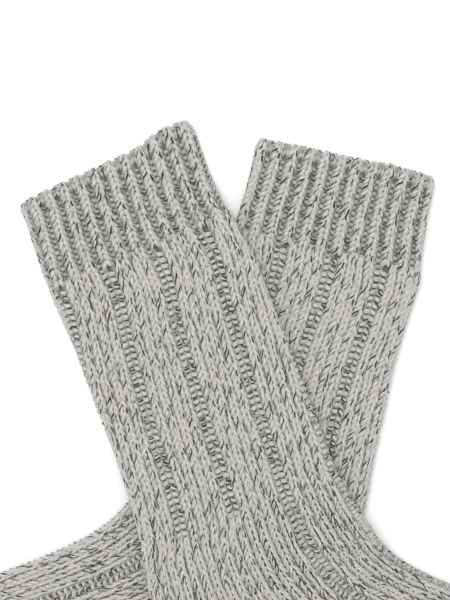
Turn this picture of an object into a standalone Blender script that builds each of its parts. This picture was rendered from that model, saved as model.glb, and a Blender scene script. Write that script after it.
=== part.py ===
"""A pair of chunky ribbed knit socks, laid flat on a table and crossed.

Each sock is one knitted tube: a 1x1 ribbed cuff, a 4x2 ribbed leg and instep,
a plain heel, sole and toe. Laid flat, the tube's two walls lie on each other
with a thin slit between them, open at the cuff and closed at the toe. The
front sock lies across the back one and sags to the table on either side.

Lengths are in millimetres until the mesh is made. A point of a sock is found
from two numbers: how far it lies along the sock's middle line, and how many
stitch columns round the tube it lies from the heel fold. Columns are counted
over the top face first, then back along the underside.
"""

import math

import bpy
import numpy as np

# The cloth.
METRES = 0.001
WALL = 3.3
SLIT = 0.4
HALF_THICK = WALL + SLIT / 2
GROOVE = 1.2
SCALLOP = 0.8
PIECE_GAP = 0.3

# The stitches. One rib repeat of the leg is four knit columns and two purl.
COLUMNS_ROUND = 48
COLUMNS_FACE = 24
REPEAT = 6
CUFF_LENGTH = 47.0
RIB_CHANGE = 1.2

# How the front sock sags off the back one.
SAG_START = 2.5
SAG_END = 24.0

# The mesh.
LINE_STEPS = 600
OUTLINE_STEPS = 160
RIM_STEPS = 48
UNDER_POINTS = 8
INNER_POINTS = 24
INNER_RINGS = 34
TOE_ROUND_RINGS = 4

COLLECTION = "crossed_ribbed_socks"
YARN_COLOUR = (0.38, 0.375, 0.365, 1.0)


def table(names, rows):
    """Give the rows of a table as named columns."""
    columns = np.array(rows, dtype=float).T
    return dict(zip(names.split(), columns))


# Where each column of the rib repeat starts, and whether it lies back (1) or
# stands out (0), in the cuff and in the leg. Purl columns are the narrow ones.
RIB = table("cuff_start cuff_purl leg_start leg_purl", (
    (0.00, 0, 0.00, 0),
    (1.21, 1, 1.14, 0),
    (2.00, 0, 2.28, 0),
    (3.21, 1, 3.42, 0),
    (4.00, 0, 4.56, 1),
    (5.21, 1, 5.28, 1),
))

# Each sock's sections: distance along the middle line, the line's turn from
# straight down the page in degrees, and the half widths to the instep side
# and to the heel side.
FRONT_SECTIONS = table("along turn instep heel", (
    (0, 25.6, 47.9, 47.7),
    (10, 23.2, 46.9, 47.5),
    (24, 22.6, 46.0, 48.6),
    (40, 22.4, 46.6, 49.6),
    (50, 22.2, 48.6, 49.6),
    (70, 22.0, 50.3, 49.2),
    (110, 21.7, 50.7, 50.4),
    (150, 20.6, 50.4, 50.0),
    (178, 20.8, 50.2, 52.2),
    (200, 25.0, 52.0, 58.0),
    (225, 36.0, 53.2, 63.6),
    (250, 52.0, 51.0, 63.6),
    (275, 62.5, 47.6, 55.6),
    (300, 67.3, 46.2, 49.0),
    (330, 67.6, 46.0, 46.4),
    (360, 66.6, 46.0, 45.6),
    (385, 65.6, 44.0, 43.0),
    (405, 65.0, 37.6, 36.4),
    (418, 64.6, 28.0, 27.4),
    (425, 64.4, 19.0, 18.6),
    (429, 64.3, 10.0, 10.0),
))
BACK_SECTIONS = table("along turn instep heel", (
    (0, 12.5, 46.0, 46.0),
    (10, 12.6, 45.9, 45.8),
    (24, 12.7, 46.3, 46.5),
    (40, 12.8, 47.6, 47.9),
    (50, 13.0, 48.6, 49.3),
    (70, 14.0, 48.6, 47.8),
    (90, 15.0, 48.5, 47.2),
    (115, 15.0, 49.2, 49.0),
    (140, 15.0, 50.0, 50.3),
    (160, 17.8, 50.8, 52.6),
    (185, 27.5, 52.4, 57.5),
    (205, 39.0, 53.4, 62.0),
    (225, 50.5, 53.2, 64.0),
    (250, 61.5, 50.0, 60.0),
    (275, 68.0, 47.4, 53.0),
    (305, 70.0, 46.2, 47.5),
    (345, 69.0, 46.0, 46.0),
    (375, 67.6, 44.0, 43.2),
    (395, 67.0, 37.6, 36.4),
    (408, 66.6, 28.0, 27.4),
    (415, 66.3, 19.0, 18.6),
    (419, 66.2, 10.0, 10.0),
))

# How many columns the stitches have wandered round the tube by then.
FRONT_DRIFT = table("along columns", (
    (0, 0.4), (47, 0.0), (61, -0.15), (72, -0.53), (82, -0.94), (94, -1.24),
    (110, -1.56), (126, -1.9), (145, -2.18), (180, -2.34), (429, -2.3),
))
BACK_DRIFT = table("along columns", (
    (0, -0.3), (30, 0.0), (47, 0.0), (60, -0.27), (72, -0.25), (90, 0.04),
    (110, 0.46), (122, 0.62), (140, 0.66), (180, 0.7), (419, 0.7),
))

# How far the cuff's rim reaches past a straight end, from the heel fold
# across the face to the instep fold.
FRONT_RIM = table("column reach", (
    (0, 0.0), (0.6, 0.8), (1.6, 1.4), (4, 2.0), (8, 1.8), (12, 1.5), (16, 1.4),
    (17.4, 2.4), (18.8, 4.1), (20.2, 4.6), (22, 3.9), (23.3, 3.0), (24, 0.8),
))
BACK_RIM = table("column reach", (
    (0, 0.3), (0.8, 1.4), (2, 1.7), (4.5, 2.5), (6.5, 2.9), (9, 2.3), (14, 2.1),
    (18, 2.1), (21, 1.7), (23.4, 1.5), (24, 0.4),
))

# Where rings of points lie: runs of the middle line and the steps in each.
FRONT_RINGS = table("start end steps", (
    (0, CUFF_LENGTH, 5), (CUFF_LENGTH + RIB_CHANGE, 310, 32), (320, 400, 8), (406, 425.5, 5),
))
BACK_RINGS = table("start end steps", (
    (0, CUFF_LENGTH, 4), (CUFF_LENGTH + RIB_CHANGE, 300, 24), (310, 390, 8), (396, 415.5, 5),
))

# A sock's cuff starts at "start" on the page. "side" is +1 where the foot
# turns right. "phase" is where the first rib repeat starts, in columns from
# the heel fold, and "first" the first repeat column that is ribbed here. The
# cuff's knit columns start "cuff_shift" columns on from the leg's repeat.
FRONT = {
    "name": "front_sock",
    "start": (53.0, -83.25),
    "side": 1,
    "sections": FRONT_SECTIONS,
    "drift": FRONT_DRIFT,
    "rim": FRONT_RIM,
    "rings": FRONT_RINGS,
    "phase": -3.64,
    "cuff_shift": 1,
    "first": 2,
    "top_columns": 29,
    "heel_start": 186.0,
    "toe_start": 362.0,
}
BACK = {
    "name": "back_sock",
    "start": (173.0, -80.5),
    "side": -1,
    "sections": BACK_SECTIONS,
    "drift": BACK_DRIFT,
    "rim": BACK_RIM,
    "rings": BACK_RINGS,
    "phase": 0.16,
    "cuff_shift": 0,
    "first": -2,
    "top_columns": 27,
    "heel_start": 172.0,
    "toe_start": 352.0,
}


def smooth(x, keys, values):
    """Read a table with a curve that never swings past its own rows."""
    slopes = np.diff(values) / np.diff(keys)
    before = slopes[:-1]
    after = slopes[1:]
    same_way = before * after > 0
    product = 2 * before * after
    total = np.where(same_way, before + after, 1.0)
    inner = np.where(same_way, product / total, 0.0)
    tangents = np.concatenate((slopes[:1], inner, slopes[-1:]))
    x = np.clip(x, keys[0], keys[-1])
    row = np.clip(np.searchsorted(keys, x) - 1, 0, len(keys) - 2)
    step = keys[row + 1] - keys[row]
    t = (x - keys[row]) / step
    rise = t * t * (3 - 2 * t)
    return (
        values[row] * (1 - rise)
        + values[row + 1] * rise
        + tangents[row] * step * t * (1 - t) ** 2
        - tangents[row + 1] * step * t * t * (1 - t)
    )


def ease(x):
    """Rise smoothly from 0 to 1 as x goes from 0 to 1."""
    x = np.clip(x, 0.0, 1.0)
    return x * x * (3 - 2 * x)


def middle_line(sock):
    """Sample the sock's middle line: place, and direction to the instep."""
    sections = sock["sections"]
    along = np.linspace(0.0, sections["along"][-1], LINE_STEPS)
    turn = np.radians(smooth(along, sections["along"], sections["turn"])) * sock["side"]
    step = along[1] - along[0]
    right = np.sin(turn)
    down = np.cos(turn)
    x = sock["start"][0] + np.concatenate(([0.0], np.cumsum((right[1:] + right[:-1]) / 2 * step)))
    y = sock["start"][1] - np.concatenate(([0.0], np.cumsum((down[1:] + down[:-1]) / 2 * step)))
    return along, x, y, turn


def place(sock, along, across):
    """Turn distances along and across (to the instep) into x and y."""
    line, line_x, line_y, line_turn = sock["line"]
    short = np.minimum(along, 0.0)
    x = np.interp(along, line, line_x)
    y = np.interp(along, line, line_y)
    turn = np.interp(along, line, line_turn)
    x = x + short * np.sin(turn) + across * np.cos(turn) * sock["side"]
    y = y - short * np.cos(turn) + across * np.sin(turn) * sock["side"]
    return x, y


def half_widths(sock, along):
    """Give the half widths to the instep side and to the heel side."""
    sections = sock["sections"]
    instep = smooth(along, sections["along"], sections["instep"])
    heel = smooth(along, sections["along"], sections["heel"])
    return instep, heel


def outline(sock):
    """Give the flat sock's outline as a closed ring of x and y."""
    along = np.linspace(0.0, sock["sections"]["along"][-1], OUTLINE_STEPS)
    instep, heel = half_widths(sock, along)
    rim_face = np.linspace(0.0, COLUMNS_FACE, RIM_STEPS + 1)[1:-1]
    rim_across = np.interp(rim_face, (0.0, COLUMNS_FACE), (-heel[0], instep[0]))
    edge_along = np.concatenate((along, along[::-1], -rim_shift(sock, 0.0, rim_face)))
    edge_across = np.concatenate((instep, -heel[::-1], rim_across))
    return place(sock, edge_along, edge_across)


def distance_outside(x, y, ring_x, ring_y):
    """Distance from each point to the ring, negative inside it."""
    end_x = np.roll(ring_x, -1)
    end_y = np.roll(ring_y, -1)
    edge_x = end_x - ring_x
    edge_y = end_y - ring_y
    from_x = x[:, None] - ring_x
    from_y = y[:, None] - ring_y
    reach = np.maximum(edge_x ** 2 + edge_y ** 2, 1e-9)
    t = np.clip((from_x * edge_x + from_y * edge_y) / reach, 0.0, 1.0)
    gap = np.hypot(from_x - t * edge_x, from_y - t * edge_y).min(axis=1)
    spans = (ring_y > y[:, None]) != (end_y > y[:, None])
    rise = np.where(np.abs(edge_y) > 1e-9, edge_y, 1e-9)
    crossing = ring_x + (y[:, None] - ring_y) * edge_x / rise
    inside = (spans & (x[:, None] < crossing)).sum(axis=1) % 2 == 1
    return np.where(inside, -gap, gap)


def lift(sock, x, y):
    """Height of the sock's underside where it lies over the sock below."""
    if sock["under"] is None:
        return np.zeros_like(x)
    outside = distance_outside(x, y, *sock["under"])
    sag = ease((outside - SAG_START) / (SAG_END - SAG_START))
    return (2 * HALF_THICK + PIECE_GAP) * (1 - sag)


def flat_tube(arc, half_width, half_height):
    """Point on a flattened tube's section, and how squarely it faces up.

    The arc starts at the heel fold and goes over the top. The section is two
    straight runs joined by half circles.
    """
    run = 2 * (half_width - half_height)
    quarter = math.pi / 2 * half_height
    bend = 2 * quarter
    arc = np.mod(arc, 2 * (run + bend))
    corners = (quarter, quarter + run, quarter + run + bend, quarter + 2 * run + bend)
    heel_up = arc < corners[0]
    top = (arc >= corners[0]) & (arc < corners[1])
    instep = (arc >= corners[1]) & (arc < corners[2])
    under = (arc >= corners[2]) & (arc < corners[3])
    angle = np.select(
        (heel_up, top, instep, under),
        (
            math.pi - arc / half_height,
            math.pi / 2,
            math.pi / 2 - (arc - corners[1]) / half_height,
            -math.pi / 2,
        ),
        -math.pi / 2 - (arc - corners[3]) / half_height,
    )
    centre = np.select(
        (heel_up, top, instep, under),
        (-run / 2, arc - corners[0] - run / 2, run / 2, run / 2 - (arc - corners[2])),
        -run / 2,
    )
    return centre + half_height * np.cos(angle), half_height * np.sin(angle), np.sin(angle)


def height_at(sock, along):
    """Half the sock's thickness, rounded off over the toe's end."""
    length = sock["sections"]["along"][-1]
    past = np.clip((along - (length - HALF_THICK)) / HALF_THICK, 0.0, 1.0)
    return HALF_THICK * np.sqrt(np.maximum(1 - past ** 2, 0.0))


def rib_column(column, names):
    """Middle quarters of one column of the repeat, and if it is purl."""
    start = RIB[names + "_start"]
    index = int(column) % REPEAT
    first = int(column) - index
    following = start[index + 1] if index + 1 < REPEAT else REPEAT
    width = following - start[index]
    quarters = (start[index] + width * 0.25, start[index] + width * 0.75)
    return [first + quarter for quarter in quarters], RIB[names + "_purl"][index]


def ring_columns(sock, in_cuff):
    """Columns of a ring's points round the tube, and which of them are purl."""
    names = "cuff" if in_cuff else "leg"
    shift = sock["cuff_shift"] if in_cuff else 0
    columns = []
    purl = []
    for column in range(sock["first"], sock["first"] + sock["top_columns"]):
        quarters, is_purl = rib_column(column - shift, names)
        columns += [shift + quarter for quarter in quarters]
        purl += [is_purl, is_purl]
    first_left = sock["first"] + sock["top_columns"]
    last = sock["first"] + COLUMNS_ROUND
    under = np.linspace(first_left, last, UNDER_POINTS + 2)[1:-1]
    columns += list(under)
    purl += [0] * UNDER_POINTS
    return np.array(columns), np.array(purl, dtype=float)


def ribbed(sock, along, face):
    """1 where the sock is ribbed: all but the heel, the sole and the toe."""
    instep_half = ease((face - COLUMNS_FACE / 2) / 1.5)
    above_heel = 1 - ease((along - sock["heel_start"]) / 10.0)
    before_toe = 1 - ease((along - sock["toe_start"]) / 8.0)
    return np.maximum(instep_half, above_heel) * before_toe


def rim_shift(sock, along, face):
    """How far the rim's own curve pulls a point of the cuff outward."""
    reach = smooth(face, sock["rim"]["column"], sock["rim"]["reach"])
    return reach * np.clip(1 - along / CUFF_LENGTH, 0.0, 1.0)


def face_of(column):
    """Fold a column of the whole tube onto the face it lies on."""
    column = np.mod(column, COLUMNS_ROUND)
    return np.where(column > COLUMNS_FACE, COLUMNS_ROUND - column, column)


def ring_turns(sock, along):
    """How far round the tube each point of a ring is, in turns."""
    columns = ring_columns(sock, along <= CUFF_LENGTH)[0]
    drift = smooth(np.array([along]), sock["drift"]["along"], sock["drift"]["columns"])[0]
    return (columns + sock["phase"] + drift) / COLUMNS_ROUND


def outer_ring(sock, along):
    """Points round the outside of the sock at one distance along it."""
    purl = ring_columns(sock, along <= CUFF_LENGTH)[1]
    columns = ring_turns(sock, along) * COLUMNS_ROUND
    face = face_of(columns)
    instep, heel = half_widths(sock, np.array([along]))
    half_width = (instep[0] + heel[0]) / 2
    half_height = height_at(sock, np.array([along]))[0]
    half_width -= HALF_THICK - half_height
    around = 2 * (half_width - half_height) + math.pi * half_height
    across, up, facing = flat_tube(columns * around / COLUMNS_FACE, half_width, half_height)
    depth = purl * ribbed(sock, along, face) * np.clip(facing * 1.5, 0.0, 1.0)
    up = up - GROOVE * depth
    shift = rim_shift(sock, along, face)
    if along == 0:
        shift = shift - SCALLOP * depth
    return solid_points(sock, along - shift, across + (instep[0] - heel[0]) / 2, up)


def inner_ring(sock, along):
    """Points round the slit inside the sock."""
    instep, heel = half_widths(sock, np.array([along]))
    half_width = (instep[0] + heel[0]) / 2 - WALL
    half_height = SLIT / 2
    around = 2 * (half_width - half_height) + math.pi * half_height
    turns = np.arange(INNER_POINTS) / INNER_POINTS
    across, up, facing = flat_tube(turns * 2 * around, half_width, half_height)
    face = face_of(turns * COLUMNS_ROUND)
    shift = rim_shift(sock, along, face)
    return solid_points(sock, along - shift, across + (instep[0] - heel[0]) / 2, up)


def solid_points(sock, along, across, up):
    """Stack x, y and height for points given along, across and up."""
    x, y = place(sock, along, across)
    z = HALF_THICK + up + lift(sock, x, y)
    return np.column_stack((x, y, z))


def ring_distances(sock):
    """Distances along the sock at which its outside has a ring."""
    runs = sock["rings"]
    stretches = []
    for start, end, steps in zip(runs["start"], runs["end"], runs["steps"]):
        stretches.append(np.linspace(start, end, int(steps) + 1))
    length = sock["sections"]["along"][-1]
    turns = np.linspace(0.0, math.pi / 2, TOE_ROUND_RINGS + 2)[1:-1]
    rounding = length - HALF_THICK + HALF_THICK * np.sin(turns)
    return np.concatenate(stretches + [rounding])


def band(first_turns, second_turns):
    """Triangles between two rings whose points' turns rise from 0 to 1.

    A triangle's corner is ("first", i) or ("second", j), and each step takes
    the ring whose next point comes sooner.
    """
    first_count = len(first_turns)
    second_count = len(second_turns)
    first_ends = np.append(first_turns[1:], 1 + first_turns[0])
    second_ends = np.append(second_turns[1:], 1 + second_turns[0])
    triangles = []
    i = 0
    j = 0
    while i < first_count or j < second_count:
        a = ("first", i % first_count)
        b = ("second", j % second_count)
        first_next = j == second_count or (i < first_count and first_ends[i] <= second_ends[j])
        if first_next:
            triangles.append((a, b, ("first", (i + 1) % first_count)))
            i += 1
        else:
            triangles.append((a, b, ("second", (j + 1) % second_count)))
            j += 1
    return triangles


def loft(rings):
    """Stack rings of equal count into points and a list of quads."""
    count = len(rings[0])
    faces = []
    for ring in range(len(rings) - 1):
        low = ring * count
        high = low + count
        for i in range(count):
            j = (i + 1) % count
            faces.append((low + i, low + j, high + j, high + i))
    return np.vstack(rings), faces


def split_alike(faces, count):
    """Cut a tube's quads so that its two walls share the same diagonals.

    The top wall runs one way round and the bottom wall the other, so one
    half of each ring's quads is cut along the other diagonal.
    """
    triangles = []
    for index, (a, b, c, d) in enumerate(faces):
        if index % count < count // 2:
            triangles += [(a, b, c), (a, c, d)]
        else:
            triangles += [(a, b, d), (b, c, d)]
    return triangles


def make_sock(sock, centre, material, collection):
    """Build one sock as a closed solid with an open mouth at its cuff."""
    length = sock["sections"]["along"][-1]
    outer = [outer_ring(sock, along) for along in ring_distances(sock)]
    inner_along = np.linspace(0.0, length - 2 * WALL, INNER_RINGS)
    inner = [inner_ring(sock, along) for along in inner_along]
    outer_points, outer_faces = loft(outer)
    inner_points, inner_faces = loft(inner)
    outer_count = len(outer[0])
    inner_first = len(outer_points)
    outer_tip = inner_first + len(inner_points)
    inner_tip = outer_tip + 1
    tips = solid_points(sock, np.array([length, length - 1.5 * WALL]), np.zeros(2), np.zeros(2))

    faces = list(outer_faces)
    for face in split_alike(inner_faces, INNER_POINTS):
        faces.append(tuple(inner_first + i for i in reversed(face)))
    last_outer = inner_first - outer_count
    for i in range(outer_count):
        faces.append((last_outer + i, last_outer + (i + 1) % outer_count, outer_tip))
    last_inner = outer_tip - INNER_POINTS
    for i in range(INNER_POINTS):
        faces.append((last_inner + (i + 1) % INNER_POINTS, last_inner + i, inner_tip))

    # The rim joins the outside to the slit, both read from the heel fold.
    rim_turns = np.mod(ring_turns(sock, 0.0), 1.0)
    order = rim_turns.argsort()
    slit_turns = np.arange(INNER_POINTS) / INNER_POINTS
    for triangle in band(rim_turns[order], slit_turns):
        corners = []
        for ring, i in triangle:
            corners.append(int(order[i]) if ring == "first" else inner_first + i)
        faces.append(tuple(corners))

    points = np.vstack((outer_points, inner_points, tips)) - centre
    if sock["side"] > 0:
        faces = [tuple(reversed(face)) for face in faces]
    mesh = bpy.data.meshes.new(sock["name"])
    mesh.from_pydata((points * METRES).tolist(), [], faces)
    mesh.materials.append(material)
    mesh.shade_smooth()
    mesh.set_sharp_from_angle(angle=math.radians(60))
    knit = bpy.data.objects.new(sock["name"], mesh)
    collection.objects.link(knit)
    return knit


def make_yarn_material(name):
    """A matt, light grey wool mix."""
    material = bpy.data.materials.new(name)
    material.use_nodes = True
    shader = material.node_tree.nodes["Principled BSDF"]
    shader.inputs["Base Color"].default_value = YARN_COLOUR
    shader.inputs["Roughness"].default_value = 0.9
    shader.inputs["Metallic"].default_value = 0.0
    return material


def main():
    """Build both socks, centred on the origin and resting on z = 0."""
    for old in list(bpy.data.objects):
        bpy.data.objects.remove(old)
    collection = bpy.data.collections.new(COLLECTION)
    bpy.context.scene.collection.children.link(collection)

    for sock in (BACK, FRONT):
        sock["line"] = middle_line(sock)
    BACK["under"] = None
    FRONT["under"] = outline(BACK)

    edge_x, edge_y = np.hstack((outline(BACK), outline(FRONT)))
    middle = ((edge_x.min() + edge_x.max()) / 2, (edge_y.min() + edge_y.max()) / 2, 0.0)
    centre = np.array(middle)
    for sock in (BACK, FRONT):
        make_sock(sock, centre, make_yarn_material(sock["name"] + "_yarn"), collection)


main()
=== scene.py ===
# %% [markdown]
# # A pair of chunky ribbed socks, stitch by stitch
#
# The two socks lie flat and crossed, the front one over the back one. On the
# real object the cloth is one long yarn, looped row after row. A bump texture
# could hint at that, but at this yarn's thickness every loop throws its own
# shadow and the outline is bumpy. So this lesson carries a yarn tube along the
# true path of each row of loops, laid on the surface of a flattened tube.

import math

import bpy
import numpy as np
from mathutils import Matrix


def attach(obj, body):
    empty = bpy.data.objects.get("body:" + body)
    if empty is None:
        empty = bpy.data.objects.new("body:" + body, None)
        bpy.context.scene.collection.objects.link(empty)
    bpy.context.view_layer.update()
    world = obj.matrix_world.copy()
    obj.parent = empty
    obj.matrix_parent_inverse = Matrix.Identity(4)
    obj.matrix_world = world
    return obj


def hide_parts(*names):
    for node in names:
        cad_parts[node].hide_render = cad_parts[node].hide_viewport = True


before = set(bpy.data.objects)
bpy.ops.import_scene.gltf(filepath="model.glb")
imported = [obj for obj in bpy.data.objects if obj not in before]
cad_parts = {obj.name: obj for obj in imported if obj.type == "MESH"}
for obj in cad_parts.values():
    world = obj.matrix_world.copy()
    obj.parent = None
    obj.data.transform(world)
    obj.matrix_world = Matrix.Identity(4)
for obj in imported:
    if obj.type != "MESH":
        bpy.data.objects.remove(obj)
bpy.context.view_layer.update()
MM = 0.001

# %% [markdown]
# ## Named tables
#
# A sock's shape is easiest to steer from a short table: one row for each
# section, one name for each column. `smooth` reads between the rows with a
# curve that never swings past them, so a row can be nudged without ripples.


# %% Tables with named columns
def table(names, rows):
    """Give the rows of a table as named columns."""
    columns = np.array(rows, dtype=float).T
    return dict(zip(names.split(), columns))


def smooth(x, keys, values):
    """Read a table with a cubic through its rows.

    Each row's slope is the harmonic mean of the slopes on its two sides, or
    zero where they differ in sign, so the curve keeps between its rows.
    """
    slopes = np.diff(values) / np.diff(keys)
    before, after = slopes[:-1], slopes[1:]
    same_way = before * after > 0
    inner = np.where(same_way, 2 * before * after / np.where(same_way, before + after, 1.0), 0.0)
    tangents = np.concatenate((slopes[:1], inner, slopes[-1:]))
    x = np.clip(x, keys[0], keys[-1])
    row = np.clip(np.searchsorted(keys, x) - 1, 0, len(keys) - 2)
    step = keys[row + 1] - keys[row]
    t = (x - keys[row]) / step
    rise = t * t * (3 - 2 * t)
    return (
        values[row] * (1 - rise)
        + values[row + 1] * rise
        + tangents[row] * step * t * (1 - t) ** 2
        - tangents[row + 1] * step * t * t * (1 - t)
    )


def ease(x):
    """Rise from 0 to 1 as three x squared minus two x cubed."""
    x = np.clip(x, 0.0, 1.0)
    return x * x * (3 - 2 * x)


print("halfway between 0 and 1 the ease is", ease(np.array([0.5]))[0])

# %% [markdown]
# ## The socks' own sizes
#
# Lengths are in millimetres, read from the photograph at half a millimetre a
# pixel. `along` runs down a sock's middle line from the cuff's rim, `turn` is
# that line's direction in degrees from straight down to the foot's side, and
# `instep` and `heel` are the sock's half widths to its two folds. Across a
# sock, places are counted in stitch columns, 24 over the top face from the heel
# fold to the instep fold and 24 back underneath. A sock that lies flat is twice
# `HALF_THICK` high.

# %% Forms of both socks
HALF_THICK = 3.5
COLUMNS_FACE = 24
COLUMNS_ROUND = 2 * COLUMNS_FACE
CUFF_LENGTH = 47.0

FRONT_SECTIONS = table("along turn instep heel", (
    (0, 25.6, 47.9, 47.7),
    (10, 23.2, 46.9, 47.5),
    (24, 22.6, 46.0, 48.6),
    (40, 22.4, 46.6, 49.6),
    (50, 22.2, 48.6, 49.6),
    (70, 22.0, 50.3, 49.2),
    (110, 21.7, 50.7, 50.4),
    (150, 20.6, 50.4, 50.0),
    (178, 20.8, 50.2, 52.2),
    (200, 25.0, 52.0, 58.0),
    (225, 36.0, 53.2, 63.6),
    (250, 52.0, 51.0, 63.6),
    (275, 62.5, 47.6, 55.6),
    (300, 67.3, 46.2, 49.0),
    (330, 67.6, 46.0, 46.4),
    (360, 66.6, 46.0, 45.6),
    (385, 65.6, 44.0, 43.0),
    (405, 65.0, 37.6, 36.4),
    (418, 64.6, 28.0, 27.4),
    (425, 64.4, 19.0, 18.6),
    (429, 64.3, 10.0, 10.0),
))
BACK_SECTIONS = table("along turn instep heel", (
    (0, 12.5, 46.0, 46.0),
    (10, 12.6, 45.9, 45.8),
    (24, 12.7, 46.3, 46.5),
    (40, 12.8, 47.6, 47.9),
    (50, 13.0, 48.6, 49.3),
    (70, 14.0, 48.6, 47.8),
    (90, 15.0, 48.5, 47.2),
    (115, 15.0, 49.2, 49.0),
    (140, 15.0, 50.0, 50.3),
    (160, 17.8, 50.8, 52.6),
    (185, 27.5, 52.4, 57.5),
    (205, 39.0, 53.4, 62.0),
    (225, 50.5, 53.2, 64.0),
    (250, 61.5, 50.0, 60.0),
    (275, 68.0, 47.4, 53.0),
    (305, 70.0, 46.2, 47.5),
    (345, 69.0, 46.0, 46.0),
    (375, 67.6, 44.0, 43.2),
    (395, 67.0, 37.6, 36.4),
    (408, 66.6, 28.0, 27.4),
    (415, 66.3, 19.0, 18.6),
    (419, 66.2, 10.0, 10.0),
))
print("lengths in mm:", FRONT_SECTIONS["along"][-1], "and", BACK_SECTIONS["along"][-1])

# %% [markdown]
# Two more tables steer details. A `drift` shifts the stitch columns sideways
# down the leg, because cloth that is laid out by hand is always twisted a
# little. A `rim` tells how far each column's end reaches past the first row.

# %% Drift and rims
FRONT_DRIFT = table("along columns", (
    (0, 0.4), (47, 0.0), (61, -0.15), (72, -0.53), (82, -0.94), (94, -1.24),
    (110, -1.56), (126, -1.9), (145, -2.18), (180, -2.34), (429, -2.3),
))
BACK_DRIFT = table("along columns", (
    (0, -0.3), (30, 0.0), (47, 0.0), (60, -0.27), (72, -0.25), (90, 0.04),
    (110, 0.46), (122, 0.62), (140, 0.66), (180, 0.7), (419, 0.7),
))
FRONT_RIM = table("column reach", (
    (0, 0.0), (0.6, 0.8), (1.6, 1.4), (4, 2.0), (8, 1.8), (12, 1.5), (16, 1.4),
    (17.4, 2.4), (18.8, 4.1), (20.2, 4.6), (22, 3.9), (23.3, 3.0), (24, 0.8),
))
BACK_RIM = table("column reach", (
    (0, 0.3), (0.8, 1.4), (2, 1.7), (4.5, 2.5), (6.5, 2.9), (9, 2.3), (14, 2.1),
    (18, 2.1), (21, 1.7), (23.4, 1.5), (24, 0.4),
))
print("the rims reach out by up to", FRONT_RIM["reach"].max(), "and", BACK_RIM["reach"].max(), "mm")

# %% [markdown]
# Both socks come from the same pattern, so each is only a short list of facts.
# `start` is the rim's middle on the page, and `side` is 1 if the foot turns
# right and -1 if it turns left. `phase` is the column where stitch 0 lies, and
# `cuff_shift` the columns between the cuff's repeat and the leg's. The half of
# the stitches that make the instep starts at `first_instep`. Heel and toe are
# distances along, `fluff` is how far the loops bulge past the half widths, and
# `seed` picks the unevenness of the stitches.

# %% The two socks
FRONT = dict(
    name="front_sock", start=(53.0, -83.25), side=1,
    sections=FRONT_SECTIONS, drift=FRONT_DRIFT, rim=FRONT_RIM,
    phase=-3.64, cuff_shift=1, first_instep=18,
    heel_start=186.0, heel_end=296.0, toe_start=362.0,
    fluff=(0.9, 1.0), seed=3,
)
BACK = dict(
    name="back_sock", start=(173.0, -80.5), side=-1,
    sections=BACK_SECTIONS, drift=BACK_DRIFT, rim=BACK_RIM,
    phase=0.16, cuff_shift=0, first_instep=10,
    heel_start=172.0, heel_end=286.0, toe_start=352.0,
    fluff=(0.4, 0.3), seed=8,
)
print(FRONT["name"], "starts", BACK["start"][0] - FRONT["start"][0], "mm left of", BACK["name"])

# %% [markdown]
# ## From the middle line to the page
#
# The middle line is drawn by walking along it and turning as the table says.
# Every other place is then a distance along it and a distance across it, so a
# bend at the ankle bends everything that is laid on the sock.

# %% Middle line, widths and outline
LINE_STEPS = 600
OUTLINE_STEPS = 160
RIM_STEPS = 49


def middle_line(sock):
    """Walk the middle line: each step's x and y are the turn's sine and cosine."""
    sections = sock["sections"]
    along = np.linspace(0.0, sections["along"][-1], LINE_STEPS)
    turn = np.radians(smooth(along, sections["along"], sections["turn"])) * sock["side"]
    step = along[1] - along[0]
    right, down = (
        np.concatenate(([0.0], np.cumsum((part[1:] + part[:-1]) / 2 * step)))
        for part in (np.sin(turn), np.cos(turn))
    )
    return along, sock["start"][0] + right, sock["start"][1] - down, turn


def place(sock, along, across):
    """A place is the middle line's point plus `across` times its side direction."""
    line, line_x, line_y, line_turn = sock["line"]
    x, y, turn = (np.interp(along, line, values) for values in (line_x, line_y, line_turn))
    before_rim = np.minimum(along, 0.0)
    x = x + before_rim * np.sin(turn) + across * np.cos(turn) * sock["side"]
    y = y - before_rim * np.cos(turn) + across * np.sin(turn) * sock["side"]
    return x, y


def half_widths(sock, along):
    """Half widths to the instep side and to the heel side, from the table."""
    sections = sock["sections"]
    instep = smooth(along, sections["along"], sections["instep"])
    heel = smooth(along, sections["along"], sections["heel"])
    return instep, heel


def rim_shift(sock, along, face):
    """The rim's reach at this column, fading to nothing down the cuff."""
    reach = smooth(face, sock["rim"]["column"], sock["rim"]["reach"])
    return reach * np.clip(1 - along / CUFF_LENGTH, 0.0, 1.0)


def outline(sock):
    """Down the instep edge, back up the heel edge, and across the rim."""
    along = np.linspace(0.0, sock["sections"]["along"][-1], OUTLINE_STEPS)
    instep, heel = half_widths(sock, along)
    rim_face = np.linspace(0.0, COLUMNS_FACE, RIM_STEPS)[1:-1]
    rim_across = np.interp(rim_face, (0.0, COLUMNS_FACE), (-heel[0], instep[0]))
    edge_along = np.concatenate((along, along[::-1], -rim_shift(sock, 0.0, rim_face)))
    edge_across = np.concatenate((instep, -heel[::-1], rim_across))
    return place(sock, edge_along, edge_across)


for sock in (BACK, FRONT):
    sock["line"] = middle_line(sock)
edge_x, edge_y = np.hstack((outline(BACK), outline(FRONT)))
CENTRE = np.array(((edge_x.min() + edge_x.max()) / 2, (edge_y.min() + edge_y.max()) / 2))
print("the pair covers", round(np.ptp(edge_x)), "by", round(np.ptp(edge_y)), "mm")

# %% [markdown]
# ## How the front sock sags over the back one
#
# Cloth that lies over an edge leaves it and comes down to the table a little
# way off. A cloth simulation could find that slope, but it would also shift the
# stitches. Here the height depends only on the distance to the back sock's
# outline, which is enough for so thin an edge and always gives the same fold.

# %% Distance to an outline
TINY = 1e-9


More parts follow.
